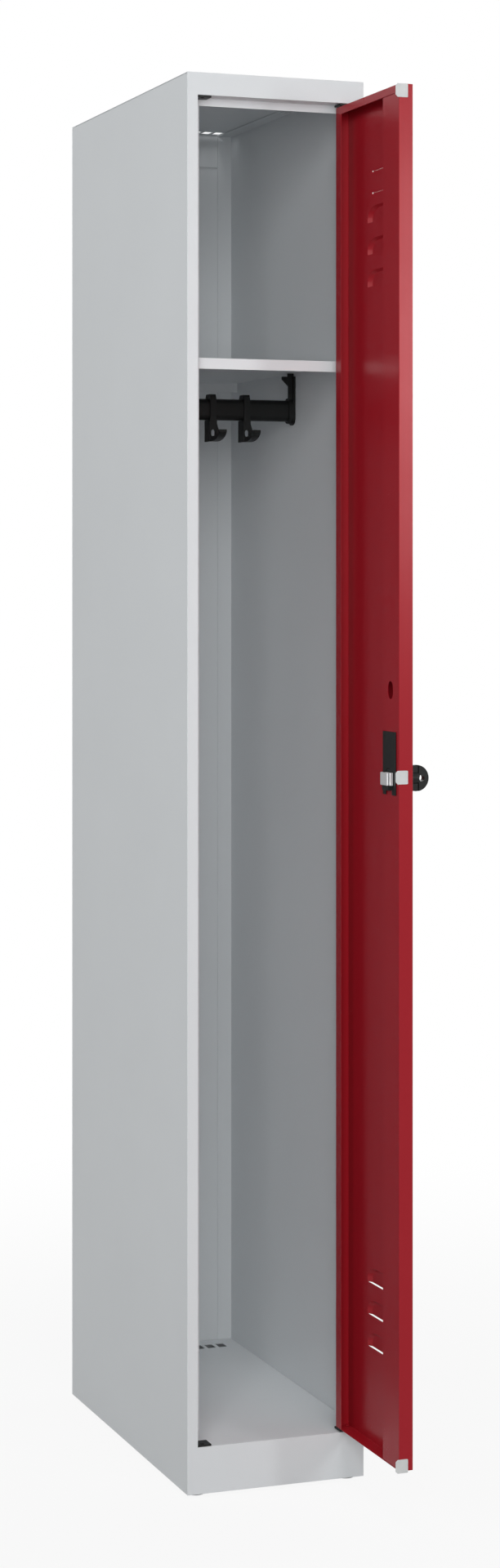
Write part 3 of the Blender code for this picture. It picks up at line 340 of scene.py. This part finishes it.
def paint(piece, material):
    """Gives a piece its finish."""
    piece.data.materials.clear()
    piece.data.materials.append(material)


def make_pieces():
    """Makes and paints the piece that stands for each node of the locker."""
    finishes = make_finishes()
    for row in frame["record"]["subparts"]:
        node = row["node"]
        slot = row["material_slot"]
        edges = next(edges for start, edges in EDGES.items() if node.startswith(start))
        paint(rounded(node, *edges), finishes[slot])


def background_rays(wires):
    """One for rays that see the white background: from the camera, or off or through a surface."""
    camera = wires.add("ShaderNodeLightPath", output="Is Camera Ray")
    outputs = camera.socket.node.outputs
    glossy = Wire(wires.tree, outputs["Is Glossy Ray"])
    through = Wire(wires.tree, outputs["Is Transmission Ray"])
    return wires.maths("MAXIMUM", camera, wires.maths("MAXIMUM", glossy, through))


def make_sky():
    """A dim white dome for light, full white where the camera or a reflection sees it."""
    world = bpy.data.worlds.new("studio")
    bpy.context.scene.world = world
    world.use_nodes = True
    tree = world.node_tree
    dome = tree.nodes["Background"]
    dome.inputs["Color"].default_value = WHITE
    strength = SKY_LEVEL + background_rays(Wire(tree)) * (BACKGROUND_LEVEL - SKY_LEVEL)
    tree.links.new(strength.socket, dome.inputs["Strength"])


def make_floor():
    """A pale floor that keeps a light shadow and runs into the white background."""
    mesh = bpy.data.meshes.new("studio_floor")
    corners = [(x * FLOOR_REACH, y * FLOOR_REACH, 0) for x, y in ((-1, -1), (1, -1), (1, 1), (-1, 1))]
    mesh.from_pydata(corners, [], [(0, 1, 2, 3)])
    floor = bpy.data.objects.new("studio_floor", mesh)
    bpy.context.scene.collection.objects.link(floor)
    material = bpy.data.materials.new("floor_white")
    material.use_nodes = True
    tree = material.node_tree
    wires = Wire(tree)
    diffuse = wires.add("ShaderNodeBsdfDiffuse", None, {"Color": (*FLOOR_GREY, 1.0)})
    glow = wires.add("ShaderNodeEmission", None, {"Color": WHITE, "Strength": BACKGROUND_LEVEL})
    place = wires.add("ShaderNodeTexCoord", output="Object")
    away = wires.add("ShaderNodeVectorMath", {"operation": "LENGTH"}, {0: place}, output="Value")
    near, far = FLOOR_SHADE_REACH
    fade = {"Value": away, "From Min": near, "From Max": far, "To Min": FLOOR_GLOW, "To Max": 1.0}
    whiten = wires.add("ShaderNodeMapRange", {"interpolation_type": "SMOOTHSTEP"}, fade)
    share = background_rays(wires) * whiten
    mixed = wires.add("ShaderNodeMixShader", None, {0: share, 1: diffuse, 2: glow})
    tree.links.new(mixed.socket, tree.nodes["Material Output"].inputs["Surface"])
    mesh.materials.append(material)


def make_camera():
    """The camera at the photograph's viewing angle."""
    data = bpy.data.cameras.new("photo_camera")
    data.sensor_fit = "VERTICAL"
    data.sensor_height = CAMERA_SENSOR
    data.lens = CAMERA_LENS
    data.shift_y = CAMERA_SHIFT
    camera = bpy.data.objects.new("photo_camera", data)
    bpy.context.scene.collection.objects.link(camera)
    camera.location = CAMERA_AT
    camera.rotation_euler = (math.radians(CAMERA_LEVEL_DEG), 0, math.radians(CAMERA_TURN_DEG))
    bpy.context.scene.camera = camera


def make_lamp(name, at, aim, size, watts):
    """A soft box that faces a point."""
    data = bpy.data.lights.new(name, "AREA")
    data.shape = "RECTANGLE"
    data.size, data.size_y = size
    data.energy = watts
    light = bpy.data.objects.new(name, data)
    bpy.context.scene.collection.objects.link(light)
    light.location = at
    light.rotation_euler = (Vector(aim) - Vector(at)).to_track_quat("-Z", "Y").to_euler()


def main():
    bpy.context.scene.view_settings.view_transform = "Standard"
    make_pieces()
    make_sky()
    make_floor()
    make_camera()
    for row in LAMPS:
        make_lamp(*row)


main()
